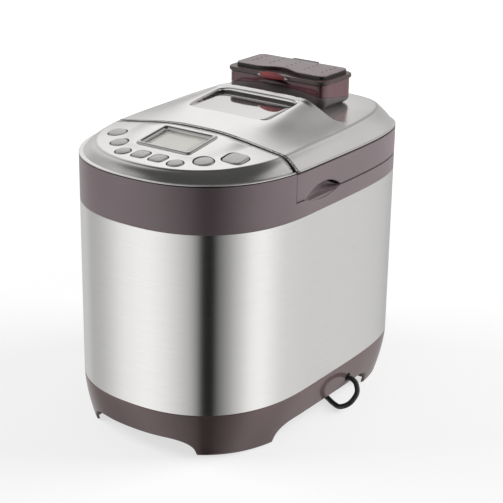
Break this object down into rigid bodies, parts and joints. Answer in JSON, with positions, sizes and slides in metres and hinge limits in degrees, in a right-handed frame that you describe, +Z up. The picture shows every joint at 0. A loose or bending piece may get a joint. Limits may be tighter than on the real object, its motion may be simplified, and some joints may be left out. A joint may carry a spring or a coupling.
{
  "type": "bread machine",
  "caption": "Countertop bread machine with an oval steel body, hinged lid with window, removable ingredient dispenser, control panel, bread pan and belt-driven kneading paddle.",
  "frame": {"origin": "centre of the machine's footprint at the level it stands on, cord left out", "axes": "+Z up, front with the control panel towards -Y, +X to the machine's right as seen from its front"},
  "size_m": [0.2587, 0.4412, 0.3384],
  "materials": {
    "base_housing": "satin",
    "rubber_feet": "matt",
    "body_wrap": "brushed",
    "top_frame": "satin",
    "tie_rods": "brushed",
    "hinge_pins": "brushed",
    "control_panel": "gloss",
    "lcd_bezel": "gloss",
    "lcd_lens": "clear",
    "control_board": "satin",
    "tact_switches": "satin",
    "menu_button": "gloss",
    "crust_button": "gloss",
    "loaf_button": "gloss",
    "time_up_button": "gloss",
    "time_down_button": "gloss",
    "light_button": "gloss",
    "stop_button": "gloss",
    "start_button": "gloss",
    "lid_cover": "gloss",
    "lid_skirt": "satin",
    "lid_liner": "satin",
    "lid_seal": "matt",
    "window_bezel": "satin",
    "window_glass": "clear",
    "dispenser_collar": "gloss",
    "dispenser_box": "gloss",
    "dispenser_cover": "gloss",
    "dispenser_latch": "gloss",
    "dispenser_pins": "brushed",
    "dispenser_flap": "gloss",
    "flap_solenoid": "painted",
    "solenoid_plunger": "brushed",
    "oven_chamber": "painted",
    "heating_element": "brushed",
    "element_clips": "brushed",
    "temperature_sensor": "brushed",
    "pan_socket": "satin",
    "drive_bearing": "satin",
    "drive_shaft": "brushed",
    "large_pulley": "satin",
    "drive_coupling": "machined",
    "drive_belt": "matt",
    "motor_housing": "painted",
    "motor_rotor": "brushed",
    "motor_pulley": "satin",
    "motor_fan": "satin",
    "motor_bracket": "painted",
    "power_board": "satin",
    "bread_pan": "satin",
    "pan_handle": "brushed",
    "pan_shaft": "brushed",
    "kneading_paddle": "satin",
    "strain_relief": "matt",
    "mains_cord": "matt",
    "cord_coil": "matt",
    "cord_tie": "satin",
    "mains_plug": "gloss"
  },
  "bodies": {
    "body": {"base_housing": "base_housing", "rubber_feet": "rubber_feet", "body_wrap": "body_wrap", "top_frame": "top_frame", "tie_rods": "tie_rods", "hinge_pins": "hinge_pins", "control_panel": "control_panel", "lcd_bezel": "lcd_bezel", "lcd_lens": "lcd_lens", "control_board": "control_board", "tact_switches": "tact_switches", "oven_chamber": "oven_chamber", "heating_element": "heating_element", "element_clips": "element_clips", "temperature_sensor": "temperature_sensor", "pan_socket": "pan_socket", "drive_bearing": "drive_bearing", "drive_belt": "drive_belt", "motor_housing": "motor_housing", "motor_bracket": "motor_bracket", "power_board": "power_board", "strain_relief": "strain_relief", "mains_cord": "mains_cord", "cord_coil": "cord_coil", "cord_tie": "cord_tie", "mains_plug": "mains_plug"},
    "lid": {"lid_cover": "lid_cover", "lid_skirt": "lid_skirt", "lid_liner": "lid_liner", "lid_seal": "lid_seal", "window_bezel": "window_bezel", "window_glass": "window_glass", "dispenser_collar": "dispenser_collar", "flap_solenoid": "flap_solenoid"},
    "dispenser": {"dispenser_box": "dispenser_box", "dispenser_pins": "dispenser_pins"},
    "dispenser_lid": {"dispenser_cover": "dispenser_cover"},
    "latch": {"dispenser_latch": "dispenser_latch"},
    "flap": {"dispenser_flap": "dispenser_flap"},
    "plunger": {"solenoid_plunger": "solenoid_plunger"},
    "rotor": {"motor_rotor": "motor_rotor", "motor_pulley": "motor_pulley", "motor_fan": "motor_fan"},
    "drive": {"drive_shaft": "drive_shaft", "large_pulley": "large_pulley", "drive_coupling": "drive_coupling"},
    "pan": {"bread_pan": "bread_pan"},
    "pan_bail": {"pan_handle": "pan_handle"},
    "paddle": {"pan_shaft": "pan_shaft", "kneading_paddle": "kneading_paddle"},
    "menu_button_body": {"menu_button": "menu_button"},
    "crust_button_body": {"crust_button": "crust_button"},
    "loaf_button_body": {"loaf_button": "loaf_button"},
    "time_up_button_body": {"time_up_button": "time_up_button"},
    "time_down_button_body": {"time_down_button": "time_down_button"},
    "light_button_body": {"light_button": "light_button"},
    "stop_button_body": {"stop_button": "stop_button"},
    "start_button_body": {"start_button": "start_button"}
  },
  "joints": [
    {"name": "lid_hinge", "type": "hinge", "parent": "body", "child": "lid", "pos_m": [0, 0.17275, 0.252], "axis": [-1, 0, 0], "range_deg": [0, 95]},
    {"name": "dispenser_lift", "type": "slide", "parent": "lid", "child": "dispenser", "axis": [0, 0, 1], "range_m": [0, 0.04]},
    {"name": "dispenser_cover_hinge", "type": "hinge", "parent": "dispenser", "child": "dispenser_lid", "pos_m": [0, 0.12325, 0.332], "axis": [-1, 0, 0], "range_deg": [0, 100]},
    {"name": "latch_slide", "type": "slide", "parent": "dispenser", "child": "latch", "axis": [0, 1, 0], "range_m": [0, 0.0018], "stiffness_N_per_m": 300, "springref_m": -0.001},
    {"name": "flap_hinge", "type": "hinge", "parent": "dispenser", "child": "flap", "pos_m": [0, 0.10725, 0.2743], "axis": [1, 0, 0], "range_deg": [0, 60], "stiffness_Nm_per_rad": 0.01, "springref_deg": -28.65},
    {"name": "plunger_slide", "type": "slide", "parent": "lid", "child": "plunger", "axis": [1, 0, 0], "range_m": [0, 0.004], "stiffness_N_per_m": 200, "springref_m": -0.001},
    {"name": "motor_spin", "type": "hinge", "parent": "body", "child": "rotor", "pos_m": [0, -0.10425, 0.078], "axis": [0, 0, 1], "continuous": true},
    {"name": "drive_spin", "type": "hinge", "parent": "body", "child": "drive", "pos_m": [0, 0.04775, 0.05], "axis": [0, 0, 1], "continuous": true},
    {"name": "pan_lift", "type": "slide", "parent": "body", "child": "pan", "axis": [0, 0, 1], "range_m": [0, 0.02]},
    {"name": "pan_handle_hinge", "type": "hinge", "parent": "pan", "child": "pan_bail", "pos_m": [0, 0.04775, 0.23], "axis": [-1, 0, 0], "range_deg": [0, 16]},
    {"name": "paddle_spin", "type": "hinge", "parent": "pan", "child": "paddle", "pos_m": [0, 0.04775, 0.09], "axis": [0, 0, 1], "continuous": true},
    {"name": "menu_press", "type": "slide", "parent": "body", "child": "menu_button_body", "axis": [0, 0.1478, -0.989], "range_m": [0, 0.0012], "stiffness_N_per_m": 500, "springref_m": -0.0005},
    {"name": "crust_press", "type": "slide", "parent": "body", "child": "crust_button_body", "axis": [0, 0.1478, -0.989], "range_m": [0, 0.0012], "stiffness_N_per_m": 500, "springref_m": -0.0005},
    {"name": "loaf_press", "type": "slide", "parent": "body", "child": "loaf_button_body", "axis": [0, 0.1478, -0.989], "range_m": [0, 0.0012], "stiffness_N_per_m": 500, "springref_m": -0.0005},
    {"name": "time_up_press", "type": "slide", "parent": "body", "child": "time_up_button_body", "axis": [0, 0.1478, -0.989], "range_m": [0, 0.0012], "stiffness_N_per_m": 500, "springref_m": -0.0005},
    {"name": "time_down_press", "type": "slide", "parent": "body", "child": "time_down_button_body", "axis": [0, 0.1478, -0.989], "range_m": [0, 0.0012], "stiffness_N_per_m": 500, "springref_m": -0.0005},
    {"name": "light_press", "type": "slide", "parent": "body", "child": "light_button_body", "axis": [0, 0.1478, -0.989], "range_m": [0, 0.0012], "stiffness_N_per_m": 500, "springref_m": -0.0005},
    {"name": "stop_press", "type": "slide", "parent": "body", "child": "stop_button_body", "axis": [0, 0.1478, -0.989], "range_m": [0, 0.0012], "stiffness_N_per_m": 500, "springref_m": -0.0005},
    {"name": "start_press", "type": "slide", "parent": "body", "child": "start_button_body", "axis": [0, 0.1478, -0.989], "range_m": [0, 0.0012], "stiffness_N_per_m": 500, "springref_m": -0.0005}
  ],
  "couplings": [
    {"joint": "drive_spin", "follows": "motor_spin", "ratio": 0.16},
    {"joint": "paddle_spin", "follows": "motor_spin", "ratio": 0.16}
  ]
}
